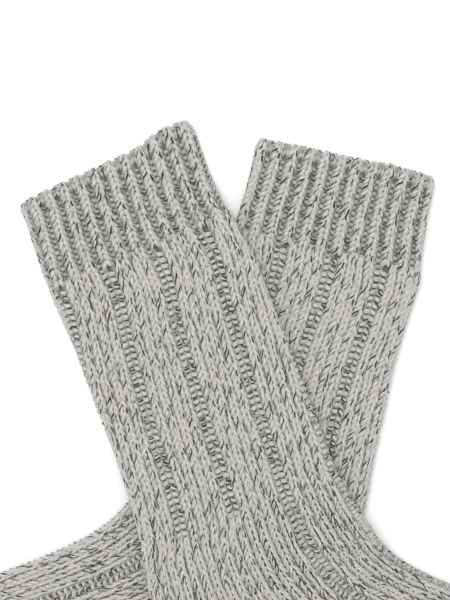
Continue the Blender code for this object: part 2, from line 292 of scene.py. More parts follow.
def distance_outside(x, y, ring_x, ring_y):
    """Least distance to the ring's edges, negative where the point is inside."""
    end_x, end_y = np.roll(ring_x, -1), np.roll(ring_y, -1)
    edge_x, edge_y = end_x - ring_x, end_y - ring_y
    from_x, from_y = x[:, None] - ring_x, y[:, None] - ring_y
    t = (from_x * edge_x + from_y * edge_y) / np.maximum(edge_x ** 2 + edge_y ** 2, TINY)
    t = np.clip(t, 0.0, 1.0)
    gap = np.hypot(from_x - t * edge_x, from_y - t * edge_y).min(axis=1)
    spans = (ring_y > y[:, None]) != (end_y > y[:, None])
    rise = np.where(np.abs(edge_y) > TINY, edge_y, TINY)
    inside = (spans & (x[:, None] < ring_x + (y[:, None] - ring_y) * edge_x / rise)).sum(axis=1) % 2
    return np.where(inside == 1, -gap, gap)


leg_gap = distance_outside(*np.array(FRONT["start"])[:, None], *outline(BACK))[0]
print("the front rim's middle lies", round(leg_gap), "mm outside the back sock")

# %% [markdown]
# The distance is worked out once on a coarse grid over the page, and every
# point of the yarn then looks it up there. `LIE_GAP` is left between the socks,
# and between `SAG_START` and `SAG_END` outside the outline the front sock comes
# down.

# %% Height of the front sock over the back one
LIE_GAP = 0.3
SAG_START = 2.5
SAG_END = 24.0
LIFT_STEP = 2.0
LIFT_ROOM = 20
LAST_CELL = 1.001
lift_x = np.arange(edge_x.min() - LIFT_ROOM, edge_x.max() + LIFT_ROOM, LIFT_STEP)
lift_y = np.arange(edge_y.min() - LIFT_ROOM, edge_y.max() + LIFT_ROOM, LIFT_STEP)
grid_x, grid_y = np.meshgrid(lift_x, lift_y, indexing="ij")
outside = distance_outside(grid_x.ravel(), grid_y.ravel(), *outline(BACK)).reshape(grid_x.shape)


def read_grid(values, first, step, second, second_step, a, b):
    """Read a grid between its points: mix of the four around (a, b).

    Places past the grid's end are read just inside its last cell.
    """
    i = np.clip((a - first) / step, 0, values.shape[0] - LAST_CELL)
    j = np.clip((b - second) / second_step, 0, values.shape[1] - LAST_CELL)
    i0, j0 = i.astype(int), j.astype(int)
    u, v = i - i0, j - j0
    low = values[i0, j0] * (1 - v) + values[i0, j0 + 1] * v
    high = values[i0 + 1, j0] * (1 - v) + values[i0 + 1, j0 + 1] * v
    return low * (1 - u) + high * u


def lift(sock, x, y):
    """Full height over the back sock, easing to zero a little way outside it."""
    if sock is BACK:
        return np.zeros_like(x)
    gap = read_grid(outside, lift_x[0], LIFT_STEP, lift_y[0], LIFT_STEP, x, y)
    return (2 * HALF_THICK + LIE_GAP) * (1 - ease((gap - SAG_START) / (SAG_END - SAG_START)))


print("the front sock lies up to", 2 * HALF_THICK + LIE_GAP, "mm higher")

# %% [markdown]
# ## The flattened tube
#
# Cut across, a sock that lies flat is two straight runs joined by half
# circles. A point on it is found from its arc length, measured from the heel
# fold over the top face. `inward` sets the point back from the outer surface,
# which is how the middle of the knit, or a lining behind it, is reached.


# %% Section of the flattened tube
def flat_tube(arc, half_width, half_height):
    """Point and outward direction on two straight runs and two half circles."""
    run = 2 * (half_width - half_height)
    quarter = math.pi / 2 * half_height
    arc = np.mod(arc, 2 * run + 4 * quarter)
    top, instep = quarter + run, 3 * quarter + run
    under = instep + run
    parts = (arc < quarter, arc < top, arc < instep, arc < under)
    bend = math.pi / 2 - (arc - top) / half_height
    angles = (math.pi - arc / half_height, math.pi / 2, bend, -math.pi / 2)
    angle = np.select(parts, angles, -math.pi / 2 - (arc - under) / half_height)
    centres = (-run / 2, arc - quarter - run / 2, run / 2, run / 2 - (arc - instep))
    centre = np.select(parts, centres, -run / 2)
    return centre, np.cos(angle), np.sin(angle)


def face_of(column):
    """Fold a column of the whole tube onto the face it lies on."""
    column = np.mod(column, COLUMNS_ROUND)
    return np.where(column > COLUMNS_FACE, COLUMNS_ROUND - column, column)


print("columns 5 and 43 lie above each other:", face_of(np.array([5, 43])))

# %% [markdown]
# At the rim the knit turns inward, as the edge of a real cuff does. A wall that
# ended square would look cut off, so the wall is rounded off along a quarter
# circle and the first rows of loops roll over the edge.

# %% Rounded rim
RIM_RADIUS = 3.3
RIM_TRAVEL = 2.2
RIM_OUT = 1.1
RIM_TUCK = 0.3


def roll_rim(along, inward):
    """Round the rim off as a quarter circle as deep as the wall.

    angle = (radius - along) / travel, along = radius - (radius - inward) sin
    angle, and inward = radius - (radius - inward) cos angle. The circle stands
    out a little, and yarn past the quarter circle tucks inward.
    """
    angle = np.maximum((RIM_RADIUS - along) / RIM_TRAVEL, 0.0)
    turned = np.minimum(angle, math.pi / 2)
    left = np.maximum(RIM_RADIUS - inward, 0.0)
    rolled = turned > 0
    new_along = np.where(rolled, RIM_RADIUS - left * np.sin(turned), along) - RIM_OUT * np.sin(turned)
    new_inward = np.where(rolled, RIM_RADIUS - left * np.cos(turned), inward)
    return new_along, new_inward + RIM_TUCK * (angle - turned), turned


print("the rim stands out by", round(-roll_rim(np.zeros(1), 0.0)[0][0], 1), "mm")

# %% [markdown]
# One function now gives any point of a sock, so the yarn, the lining and later
# changes all share one surface. At the toe the section also gets thinner, as a
# rounded end does.

# %% Any point of a sock
TIP_NEARLY = 0.995


def on_sock(sock, along, column, inward):
    """Point of the sock `inward` of its outside, and the outward direction.

    The section's point is its centre plus the outward direction times what is
    left of the half thickness; the page gives x and y, and the lift adds to z.
    """
    along, inward, rolled = roll_rim(along, inward)
    length = sock["sections"]["along"][-1]
    past = np.clip((along - (length - HALF_THICK)) / HALF_THICK, 0.0, TIP_NEARLY)
    half_height = HALF_THICK * np.sqrt(1 - past ** 2)
    instep, heel = half_widths(sock, along)
    instep, heel = instep + sock["fluff"][0], heel + sock["fluff"][1]
    half_width = (instep + heel) / 2 - (HALF_THICK - half_height)
    around = 2 * (half_width - half_height) + math.pi * half_height
    centre, out_across, out_up = flat_tube(column * around / COLUMNS_FACE, half_width, half_height)
    reach = half_height - inward * half_height / HALF_THICK
    across = centre + reach * out_across + (instep - heel) / 2
    along = along - rim_shift(sock, along, face_of(column))
    x, y = place(sock, along, across)
    z = HALF_THICK + reach * out_up + lift(sock, x, y)
    turn = np.interp(along, sock["line"][0], sock["line"][3])
    out = np.column_stack((out_across * np.cos(turn), out_across * np.sin(turn), out_up))
    out[:, :2] *= sock["side"]
    to_rim = np.column_stack((-np.sin(turn), np.cos(turn), np.zeros_like(turn)))
    out = out * np.cos(rolled)[:, None] + to_rim * np.sin(rolled)[:, None]
    return np.column_stack((x - CENTRE[0], y - CENTRE[1], z)), out


sample, _ = on_sock(FRONT, np.array([100.0]), np.array([12.0]), 0.0)
print("the front leg's top is", round(sample[0, 2], 1), "mm above the table")

# %% [markdown]
# ## Rows of stitches
#
# Rows are an even distance apart in a straight stretch. At the heel a knitter
# works short rows on the heel's half only, which makes the pouch: more rows at
# the fold than at the middle. Counting rows by arc length does the same. Rows
# counted down from the leg and rows counted back from the sole then meet on a
# slanting line, just as they do at the gore of a real sock.

# %% Row numbers along each column
CUFF_ROWS = 16
RIM_ROOM = 1.0
CUFF_ROW = CUFF_LENGTH / (CUFF_ROWS + RIM_ROOM)
LEG_ROW = 3.25
HEEL_ROW = 3.5
TOE_ROW = 3.1
HEEL_FADE = 6.0
ROW_STEP = 0.25
ROWS_BEFORE = 4.0
ROWS_PAST = 16.0
FACE_STEPS = 25


def row_tables(sock):
    """Distance along the sock for each face column and row number.

    Row number is the integral of stretch over row pitch. In the heel, stretch
    is one plus the distance to the heel side times the middle line's bend.
    """
    line, _, _, turn = sock["line"]
    bend = np.abs(np.gradient(turn, line))
    heel_start, heel_end = sock["heel_start"], sock["heel_end"]
    pitch = np.select(
        (line < CUFF_LENGTH, line < heel_start, line < heel_end, line < sock["toe_start"]),
        (CUFF_ROW, LEG_ROW, HEEL_ROW, LEG_ROW),
        TOE_ROW,
    )
    instep, heel = half_widths(sock, line)
    face = np.linspace(0.0, COLUMNS_FACE / 2, FACE_STEPS)
    half_width = (instep + heel) / 2
    to_heel = half_width - face[:, None] / (COLUMNS_FACE / 2) * half_width - (instep - heel) / 2
    in_heel = ease((line - heel_start) / HEEL_FADE) * ease((heel_end - line) / HEEL_FADE)
    density = (1 + to_heel * bend * in_heel) / pitch
    step = line[1] - line[0]
    first = np.full((FACE_STEPS, 1), -RIM_ROOM)
    rows = np.cumsum(np.concatenate((first, density[:, 1:] * step), axis=1), axis=1)
    total = rows[-1, -1]
    numbers = np.arange(-ROWS_BEFORE, total + ROWS_PAST, ROW_STEP)
    from_leg = np.array([np.interp(numbers, r, line) for r in rows])
    from_sole = np.array([np.interp(numbers, total - (r[-1] - r), line) for r in rows])
    before = np.minimum(numbers + RIM_ROOM, 0.0) * CUFF_ROW
    gore = float(np.interp((heel_start + heel_end) / 2, line, rows[-1]))
    return dict(numbers=numbers, leg=from_leg + before, sole=from_sole + before, total=total, gore=gore)


def row_at(sock, along):
    """Row number at a distance along the sock, counted down the face's middle."""
    return np.interp(along, sock["rows"]["leg"][-1], sock["rows"]["numbers"])


def along_of(sock, row, face, sole):
    """Distance along the sock of a row, read from the leg's or the sole's count."""
    rows = sock["rows"]
    heel_face = np.minimum(face, COLUMNS_FACE / 2)
    step = COLUMNS_FACE / 2 / (FACE_STEPS - 1)
    leg, back = (
        read_grid(rows[count], 0.0, step, rows["numbers"][0], ROW_STEP, heel_face, row)
        for count in ("leg", "sole")
    )
    return np.where(sole, back, leg)


for sock in (BACK, FRONT):
    sock["rows"] = row_tables(sock)
    print(sock["name"], "rows:", round(sock["rows"]["total"]), "gore at", round(sock["rows"]["gore"]))

# %% [markdown]
# ## Columns of stitches
#
# The rib repeats every six stitch columns. In the cuff, knit and purl columns
# take turns; in the leg, four knit columns stand out and two purl ones lie
# back. Knit columns spread and purl columns close up, so `RIB` gives where each
# column starts as well as whether it is purl. Below the cuff the columns slide
# over to the leg's places. Heel, sole and toe are plain knit with even columns,
# which draw together as the toe narrows.

# %% Column places and stitch kinds
REPEAT = 6
PLAIN_FADE = 8.0
RIB = table("cuff_start cuff_purl leg_start leg_purl", (
    (0.00, 0, 0.00, 0),
    (1.21, 1, 1.14, 0),
    (2.00, 0, 2.28, 0),
    (3.21, 1, 3.42, 0),
    (4.00, 0, 4.56, 1),
    (5.21, 1, 5.28, 1),
))
LEG_SHARE = table("along share", ((45, 0), (49, 0.3), (56, 0.62), (70, 0.85), (95, 1)))


def repeat_place(stitch, starts):
    """Place of a stitch parameter in a repeat whose columns start at `starts`."""
    whole = np.floor(stitch / REPEAT) * REPEAT
    edges = np.append(starts, REPEAT)
    return whole + np.interp(stitch - whole, np.arange(REPEAT + 1), edges)


def on_instep(sock, stitch):
    """Whether a stitch column lies on the instep's half of the sock."""
    return np.mod(np.floor(stitch) - sock["first_instep"], COLUMNS_ROUND) < COLUMNS_FACE


def column_of(sock, stitch, along):
    """Column round the tube, from the heel fold, of a stitch parameter."""
    cuff = repeat_place(stitch - sock["cuff_shift"], RIB["cuff_start"]) + sock["cuff_shift"]
    leg = repeat_place(stitch, RIB["leg_start"])
    first = float(sock["first_instep"])
    plain = stitch + repeat_place(np.array([first]), RIB["leg_start"])[0] - first
    in_leg = smooth(along, LEG_SHARE["along"], LEG_SHARE["share"])
    in_heel = ease((along - sock["heel_start"]) / PLAIN_FADE) * ~on_instep(sock, stitch)
    place_on_leg = leg * (1 - in_heel) + plain * in_heel
    drift = smooth(along, sock["drift"]["along"], sock["drift"]["columns"])
    return cuff * (1 - in_leg) + place_on_leg * in_leg + sock["phase"] + drift


def is_purl(sock, stitch, row):
    """1 for a purl stitch: cuff and leg by the repeat, plain on heel and toe."""
    index = np.floor(stitch).astype(int)
    cuff = RIB["cuff_purl"][(index - sock["cuff_shift"]) % REPEAT]
    leg = RIB["leg_purl"][index % REPEAT]
    before_toe = row < row_at(sock, sock["toe_start"])
    ribbed = (row < row_at(sock, sock["heel_start"])) | (on_instep(sock, stitch) & before_toe)
    return np.where(row < CUFF_ROWS, cuff, leg * ribbed)


print("purl columns of the leg's repeat:", RIB["leg_purl"])

# %% [markdown]
# ## One stitch
#
# The yarn of a row goes up one side of a loop, over its head and down again to
# the link with the next loop. `phase` runs from -pi to pi on the way, and the
# height in the loop is its cosine, 1 at the head and -1 at the link.
#
# The table below holds what differs between the cuff and the rest of the sock.
# `pinch` draws in a loop's neck, `lean` brings its legs together, `reach` is
# half its length, `square` flattens its crests and `tilt` dips its head.
# `spread` widens a purl stitch's bar, `arch` pulls it back, `recess` sinks it,
# and `wide` is the yarn's half width. Lengths sideways count in columns, lengths
# ahead in rows, and what goes out or in is in millimetres.

# %% Sizes of a stitch
STITCH = {
    "knit_pinch": (1.75, 1.55),
    "knit_reach": (1.1, 1.2),
    "knit_square": (0.0, 0.2),
    "knit_tilt": (0.55, 0.5),
    "knit_lean": (0.0, 0.02),
    "knit_wide": (1.32, 1.09),
    "purl_spread": (0.22, 0.27),
    "purl_reach": (0.9, 1.0),
    "purl_arch": (0.1, 0.35),
    "purl_recess": (1.6, 0.55),
    "purl_wide": (1.22, 1.32),
    "link_recess": (0.3, 0.9),
}
NOISE_ROWS = 160


def of_stitch(name, in_cuff):
    """Read the table of stitch sizes for the cuff or for the rest."""
    return np.where(in_cuff, *STITCH[name])


for sock in (BACK, FRONT):
    numbers = np.random.default_rng(sock["seed"])
    sock["noise"] = numbers.uniform(-1.0, 1.0, (3, NOISE_ROWS, COLUMNS_ROUND))
print("the leg's knit yarn is", 2 * STITCH["knit_wide"][1], "mm wide")

# %% [markdown]
# Knit stitches show their two legs, which lie at the quarter turns: there the
# yarn stands out most, and a sideways wave of twice the rate pinches the loop's
# neck so that the legs slant like a V. Purl stitches show the head and the
# link instead, so how far they stand out follows the size of the cosine, and
# the sideways wave spreads the head into a short bar.

# %% Waves of a knit and of a purl stitch
UNEVEN_PINCH = 0.28
UNEVEN_REACH = 0.05
PURL_BAR = 1.1


def knit_waves(phase, in_cuff, wobble, stretch):
    """Yarn of a knit stitch: how far sideways, ahead and out it lies.

    sideways = (phase + pinch sin 2 phase) / 2 pi - lean sin phase,
    ahead = reach cos phase, out = w + square (w - w cubed) with
    w = -cos 2 phase. Each stitch's pinch and reach are a little uneven.
    """
    height = np.cos(phase)
    pinch = of_stitch("knit_pinch", in_cuff) * (1 + UNEVEN_PINCH * wobble)
    lean = of_stitch("knit_lean", in_cuff)
    sideways = (phase + pinch * np.sin(2 * phase)) / (2 * math.pi) - lean * np.sin(phase)
    ahead = of_stitch("knit_reach", in_cuff) * height * (1 + UNEVEN_REACH * stretch * (1 + height))
    wave = -np.cos(2 * phase)
    square = of_stitch("knit_square", in_cuff)
    return sideways, ahead, wave * (1 + square - square * wave ** 2)


def purl_waves(phase, in_cuff):
    """Yarn of a purl stitch: how far sideways, ahead and out it lies.

    With h = cos phase, sideways = phase / 2 pi + spread sin phase,
    ahead = reach (3 h - h cubed) / 2, and out = twice the size of h to the
    power of the bar, less 1. A link, where h is below 0, sinks by recess h
    squared.
    """
    height = np.cos(phase)
    sideways = phase / (2 * math.pi) + of_stitch("purl_spread", in_cuff) * np.sin(phase)
    ahead = of_stitch("purl_reach", in_cuff) * height * (3 - height ** 2) / 2
    sunk = of_stitch("link_recess", in_cuff) * (height < 0) * height ** 2
    return sideways, ahead, 2 * np.abs(height) ** PURL_BAR - 1 - sunk


sample_side = knit_waves(math.pi / 2, False, 0.0, 0.0)[0]
print("a knit leg lies", round(float(sample_side), 2), "columns off the middle")

# %% [markdown]
# A row's yarn passes from knit to purl stitches and back, so near a link the
# two kinds are mixed: half and half at the link itself. Purl columns as a whole
# lie back from knit ones, which is what makes a rib. `share_of_purl` tells how
# far a place lies in a purl column for that.


# %% Mixing knit and purl
def share_of_purl(sock, stitch, row):
    """How far a place lies in a purl column: 1 in its middle, half at a knit edge."""
    across = stitch - np.floor(stitch)
    before = ease(1 - 2 * across) / 2
    after = ease(2 * across - 1) / 2
    own = is_purl(sock, stitch, row)
    return (
        own * (1 - before - after)
        + is_purl(sock, stitch - 1, row) * before
        + is_purl(sock, stitch + 1, row) * after
    )


def share_of_turn(sock, middle, phase, row):
    """How far the yarn is turned to purl: its own kind, or half its neighbour's.

    The neighbour's share is ease(size of phase, from pi / 2 to pi) / 2. The
    rim's first rows are all knit.
    """
    own = is_purl(sock, middle, row)
    neighbour = is_purl(sock, middle + np.where(phase < 0, -1, 1), row)
    shared = ease((np.abs(phase) - math.pi / 2) / (math.pi / 2)) / 2
    return (own * (1 - shared) + neighbour * shared) * (row > 0)


SAMPLE_ROW = 30
sample_share = share_of_purl(BACK, np.array([10.5, 12.5]), SAMPLE_ROW)
print("shares of purl in the leg's columns 10 and 12:", sample_share)

# %% [markdown]
# The yarn's path puts the waves together. A knit loop tilts: its head dives
# under the row above, as shingles do. The tube is thinner where the yarn turns
# from the front to the back, and where it is squeezed in the neck of a loop.

# %% Path of the yarn
KNIT_CROWD = 0.25
PURL_CROWD = -0.1
UNEVEN_PLACE = 0.08
UNEVEN_OUT = 0.12
WAVE_HEIGHT = 1.05
SQUEEZE = 0.15
DIVE_THIN = 0.6
RIM_THIN = 0.9


def yarn_width(phase, turned, purl, row):
    """Half width: the two kinds' mixed, less the squeeze, the dive and the rim.

    squeeze = sin(2 phase) squared for knit, dive = (1 - size of cos phase)
    squared for purl; the purl yarn of the row rolled over the rim is thin.
    """
    in_cuff = row < CUFF_ROWS
    knit_wide = of_stitch("knit_wide", in_cuff)
    wide = knit_wide + (of_stitch("purl_wide", in_cuff) - knit_wide) * purl
    wide = wide * (1 - SQUEEZE * (1 - purl) * np.sin(2 * phase) ** 2)
    wide = wide * (1 - DIVE_THIN * turned * (1 - np.abs(np.cos(phase))) ** 2)
    return wide * np.where(row < 0, 1 - RIM_THIN * purl, 1.0)


def loop_path(sock, index, turn, row, sole):
    """Middle of the yarn for whole stitches, each passed by turn from -pi to pi.

    phase = turn + crowd sin(2 turn) crowds samples where the yarn is seen.
    Sideways, ahead and out are the knit and purl waves mixed by the share of
    turn; out changes over more sharply, by ease(2 share - 1).
    """
    middle = index + 0.5
    in_cuff = row < CUFF_ROWS
    crowd = np.where(is_purl(sock, middle, row) > 0, PURL_CROWD, KNIT_CROWD)
    phase = turn + crowd * np.sin(2 * turn)
    turned = share_of_turn(sock, middle, phase, row)
    noise_row, noise_column = row.astype(int) % NOISE_ROWS, index.astype(int) % COLUMNS_ROUND
    wobble, stretch, slide = sock["noise"][:, noise_row, noise_column]
    knit_side, knit_ahead, knit_out = knit_waves(phase, in_cuff, wobble, stretch)
    purl_side, purl_ahead, purl_out = purl_waves(phase, in_cuff)
    uneven = UNEVEN_PLACE * slide * np.cos(phase / 2)
    stitch = middle + knit_side * (1 - turned) + purl_side * turned + uneven
    purl = share_of_purl(sock, stitch, row)
    arch = of_stitch("purl_arch", in_cuff) * np.maximum(2 * purl - 1, 0.0)
    ahead = row + 0.5 + knit_ahead * (1 - turned) + purl_ahead * turned - arch
    middle_face = np.full_like(ahead, COLUMNS_FACE / 2)
    column = column_of(sock, stitch, along_of(sock, ahead, middle_face, sole))
    along = along_of(sock, ahead, face_of(column), sole)
    column = column_of(sock, stitch, along)
    forward = ease(2 * turned - 1)
    tilt = of_stitch("knit_tilt", in_cuff) * np.cos(phase) * (1 - turned)
    out = WAVE_HEIGHT * (knit_out * (1 - forward) + purl_out * forward) - tilt
    out -= purl * of_stitch("purl_recess", in_cuff)
    out += UNEVEN_OUT * (wobble - slide) * np.cos(phase / 2) ** 2
    return along, column, out, yarn_width(phase, turned, purl, row)


SAMPLE_STITCH = 12
sample_turn = np.linspace(-math.pi, math.pi, SAMPLE_STITCH + 1)
same = np.ones(sample_turn.shape)
sample_path = loop_path(BACK, SAMPLE_STITCH * same, sample_turn, SAMPLE_ROW * same, same < 0)
print("one leg stitch reaches", round(np.ptp(sample_path[0]), 1), "mm along the sock")

# %% [markdown]
# ## Which rows there are
#
# Most rows go all the way round. In the heel some cover only the stitches
# between the two gores. To find where a row ends, the place of every half
# stitch is worked out and the end's own place is read back from the list.

# %% Where a row starts and ends
GUESS_REACH = 12.0
GUESS_STEP = 0.5
REACH_STEPS = 49


def stitch_at(sock, row, column, sole):
    """Number of the stitch that lies at a column of the tube in this row."""
    face = np.array([face_of(column)])
    along = along_of(sock, np.array([row + 0.5]), face, np.array([sole]))
    guess = np.arange(column - GUESS_REACH, column + GUESS_REACH, GUESS_STEP) - sock["phase"]
    columns = column_of(sock, guess, np.full_like(guess, along[0]))
    return int(round(float(np.interp(column, columns, guess))))


def heel_reach(sock, row, sole):
    """How many columns from the heel fold a heel row still reaches."""
    face = np.linspace(0.0, COLUMNS_FACE / 2, REACH_STEPS)
    gore = (sock["heel_start"] + sock["heel_end"]) / 2
    along = along_of(sock, np.full_like(face, row + 0.5), face, np.full(face.shape, sole))
    margin = HEEL_ROW / 2
    there = along > gore - margin if sole else along < gore + margin
    return face[there].max() if there.any() else 0.0


print("a row of the front sock's leg starts at stitch", stitch_at(FRONT, SAMPLE_ROW, 0, False))

# %% [markdown]
# Each row is cut into a stretch over the top face and one along the underside,
# so that the hidden side can have fewer corners. A stretch is listed as its
# row, its first and last stitch, and whether it belongs to the sole's count.

# %% List the stretches of yarn
LAST_ROW_ROOM = 0.7
MOST_SHORT_ROWS = 12


def stretches(sock, top):
    """Rows as (row, first stitch, end stitch, from the sole) for one face."""
    low, high = (0, COLUMNS_FACE) if top else (COLUMNS_FACE, COLUMNS_ROUND)
    rows = sock["rows"]
    last = int(rows["total"] - LAST_ROW_ROOM)
    gore_row = int(round(rows["gore"]))
    spans = [(row, low, high, row >= gore_row) for row in range(-1, last + 1)]
    for offset in range(1, MOST_SHORT_ROWS):
        for row, sole in ((gore_row - 1 + offset, False), (gore_row - offset, True)):
            reach = heel_reach(sock, row, sole)
            near, far = (low, reach) if top else (high - reach, high)
            spans += [(row, near, far, sole)] if reach >= 1 else []
    return [
        (row, stitch_at(sock, row, near, sole), stitch_at(sock, row, far, sole), sole)
        for row, near, far, sole in spans
    ]


print("top stretches:", len(stretches(FRONT, True)), "and", len(stretches(BACK, True)))

# %% [markdown]
# ## From path to tube
#
# A tube is a ring of corners carried along the path. The ring is set square
# to the yarn with the surface's outward direction, which keeps it from
# twisting. All stretches of a piece are swept in one go as whole arrays.


# %% Sweep yarn along many stretches
def sweep(points, outward, breaks, sides, wide, deep):
    """Ring of corners round every point: wide across the yarn, deep outward.

    across = along crossed with outward, and up = across crossed with along.
    """
    before = np.where(breaks[:, None], points, np.roll(points, 1, axis=0))
    last = np.roll(breaks, -1)
    after = np.where(last[:, None], points, np.roll(points, -1, axis=0))
    along = after - before
    along /= np.linalg.norm(along, axis=1, keepdims=True)
    across = np.cross(along, outward)
    across /= np.linalg.norm(across, axis=1, keepdims=True)
    up = np.cross(across, along)
    angle = 2 * math.pi * np.arange(sides) / sides
    ring = (
        points[:, None]
        + across[:, None] * (wide[:, None] * np.cos(angle))[..., None]
        + up[:, None] * (deep[:, None] * np.sin(angle))[..., None]
    )
    return ring.reshape(-1, 3), last


def tube_faces(count, last, sides):
    """Quads between neighbouring rings, except past the end of a stretch."""
    ring = np.arange(count)[~last]
    side = np.arange(sides)
    a = ring[:, None] * sides + side
    b = ring[:, None] * sides + (side + 1) % sides
    return np.stack((a, b, b + sides, a + sides), axis=-1).reshape(-1, 4)


print("one step of a six-sided tube has", len(tube_faces(2, np.array([False, True]), 6)), "faces")

# %% [markdown]
# The yarn's own length and the way round it are kept as a UV map, so that the
# material can wind the plies. A picture wrapped on the knit could show marled
# yarn too, but its plies would run straight across the loops.


# %% Meshes and their maps
def mesh_object(name, corners, faces):
    """Smooth mesh object from corners in millimetres."""
    mesh = bpy.data.meshes.new(name)
    mesh.from_pydata((corners * MM).tolist(), [], faces)
    mesh.shade_smooth()
    made = bpy.data.objects.new(name, mesh)
    bpy.context.scene.collection.objects.link(made)
    return made


def map_yarn(mesh, faces, sides, length):
    """UV map: metres along the yarn, and the way round it from 0 to 1.

    A face that closes the ring counts on to 1 instead of falling back to 0.
    """
    corner = faces.ravel()
    metres = np.repeat(length, sides)[corner] * MM
    around = np.tile(np.arange(sides) / sides, len(length))[corner]
    closes = np.tile((0, 1, 1, 0), len(faces)) * (around == 0)
    uv = np.column_stack((metres, around + closes))
    mesh.uv_layers.new(name="yarn").data.foreach_set("uv", uv.ravel())


print("a millimetre of yarn is", MM, "of the map, and once round it is 1")

# %% [markdown]
# Yarn that would come too near the middle of the sock is held back and made
# thinner, because there it would break through the other face. The rounded rim
# leaves it less room still. How deep the yarn lies is kept as an attribute, so
# that the material can paint shade on it in the folds of the knit.

# %% Yarn pieces
YARN_DEEP = 1.0
DEEPEST = 3.45
YARN_HIDES = 2.4
HIDDEN_FLAT = 0.5
HIDDEN_THIN = 0.3
JOIN_TRAVEL = 3.0
SPIN_WAVES = ((0.05, 0.31, 0.0), (0.04, 0.117, 2.0))


def spin(length):
    """Thick and thin places: 1 plus waves of (height, rate, start) along the yarn."""
    return 1 + sum(height * np.sin(length * rate + start) for height, rate, start in SPIN_WAVES)


def yarn_tube(name, sock, path, sides):
    """Sweep a yarn along a path: along, column, out, width and new stretches.

    inward = yarn's half depth + wave height - out, at most the deepest; hidden
    = share of the way from where the yarn hides to the deepest. From one
    stretch to the next the map's length moves on by the join's travel.
    """
    along, column, out, wide, breaks = path
    deepest = np.interp(along, (0.0, RIM_RADIUS), (RIM_RADIUS - YARN_DEEP, DEEPEST))
    inward = np.minimum(YARN_DEEP + WAVE_HEIGHT - out, deepest)
    points, outward = on_sock(sock, along, column, inward)
    travel = np.linalg.norm(np.diff(points, axis=0, prepend=points[:1]), axis=1)
    travel[breaks] = JOIN_TRAVEL
    length = np.cumsum(travel)
    hidden = np.clip((inward - YARN_HIDES) / (DEEPEST - YARN_HIDES), 0.0, 1.0)
    deep = np.minimum(YARN_DEEP, wide) * spin(length) * (1 - HIDDEN_FLAT * hidden)
    wide = wide * spin(length) * (1 - HIDDEN_THIN * hidden)
    corners, last = sweep(points, outward, breaks, sides, wide, deep)
    faces = tube_faces(len(points), last, sides)
    knit = mesh_object(name, corners, faces.tolist())
    map_yarn(knit.data, faces, sides, length)
    # Painted shade: yarn that lies deep in the knit is darkened by this share.
    shadow = np.clip((inward - YARN_DEEP) / (DEEPEST - YARN_DEEP), 0.0, 1.0) ** 2
    knit.data.attributes.new("depth", "FLOAT", "POINT").data.foreach_set("value", np.repeat(shadow, sides))
    print(name, breaks.sum(), "stretches,", 2 * len(faces), "triangles")
    return knit


print("at its thickest the yarn is", round(spin(np.arange(1000.0)).max(), 2), "times as wide as usual")

# %% [markdown]
# A piece of knit is a list of stretches. Their samples are laid end to end, so
# the path is worked out once for all of them, and `breaks` marks where a new
# stretch starts and the tube must not be joined. A grade gives the steps along
# a stitch and the sides of the tube.

# %% Many stretches as one mesh
FINE = (12, 6)
MIDDLING = (8, 5)
COARSE = (6, 3)


def samples(found, steps):
    """Stitch, turn, row, count and start mark of each step along the stretches.

    turn = 2 pi x (step's share of its stitch) - pi.
    """
    parts = []
    for row, start, end, sole in found:
        step = np.arange((end - start) * steps + 1)
        same = np.ones(step.shape)
        turn = 2 * math.pi * (step % steps) / steps - math.pi
        parts.append((start + step // steps, turn, row * same, sole * same > 0, step == 0))
    return [np.concatenate(part) for part in zip(*parts)]


def yarn_mesh(name, sock, found, steps, sides):
    """One mesh for many stretches of a sock's yarn, with `steps` steps a stitch."""
    *places, breaks = samples(found, steps)
    return yarn_tube(name, sock, (*loop_path(sock, *places), breaks), sides)


first_row = stretches(FRONT, True)[:1]
print("points along the front's first row:", len(samples(first_row, FINE[0])[0]))

# %% [markdown]
# ## Knit every piece
#
# Each sock's yarn is kept in four pieces: the cuff, the leg and the foot, and
# the underside with fewer corners. The underside's rows at the rim can be seen
# past its edge, so they belong to the cuff's finer piece.

# %% Knit the yarn pieces
knits = {}
for sock in (BACK, FRONT):
    name = sock["name"]
    top = stretches(sock, True)
    under = stretches(sock, False)
    heel_row = row_at(sock, sock["heel_start"])
    cuff = [s for s in top if s[0] < CUFF_ROWS and not s[3]]
    leg = [s for s in top if CUFF_ROWS <= s[0] < heel_row and not s[3]]
    foot = [s for s in top if s not in cuff and s not in leg]
    rim = [s for s in under if s[0] < 1]
    knits[name] = [
        yarn_mesh(name + "_cuff_yarn", sock, cuff + rim, *FINE),
        yarn_mesh(name + "_leg_yarn", sock, leg, *FINE),
        yarn_mesh(name + "_foot_yarn", sock, foot, *MIDDLING),
        yarn_mesh(name + "_under_yarn", sock, [s for s in under if s not in rim], *COARSE),
    ]

# %% [markdown]
# ## A lining behind the loops
#
# Between the loops one looks through to the backs of the next ones. A thin
# closed tube inside the knit stands for them: it keeps the table from showing
# through.

# %% Lining tubes
# The lining's dark grey is painted shade: the loops' backs it stands for are the same light yarn, lying in
# shadow.
LINING_INWARD = 2.9
LINING_WALL = 0.35
LINING_TIP = 1.5
LINING_SIDES = 72
LINING_RINGS = 56


def lining_points(sock):
    """Rings of the outer and of the inner tube, then the two tips."""
    along = np.linspace(0.0, sock["sections"]["along"][-1] - LINING_TIP, LINING_RINGS)
    column = np.arange(LINING_SIDES) / LINING_SIDES * COLUMNS_ROUND
    grid_along, grid_column = np.meshgrid(along, column, indexing="ij")
    outer, _ = on_sock(sock, grid_along.ravel(), grid_column.ravel(), LINING_INWARD)
    inner, _ = on_sock(sock, grid_along.ravel(), grid_column.ravel(), LINING_INWARD + LINING_WALL)
    tips = [layer[-LINING_SIDES:].mean(axis=0) for layer in (outer, inner)]
    return np.vstack((outer, inner, np.array(tips)))


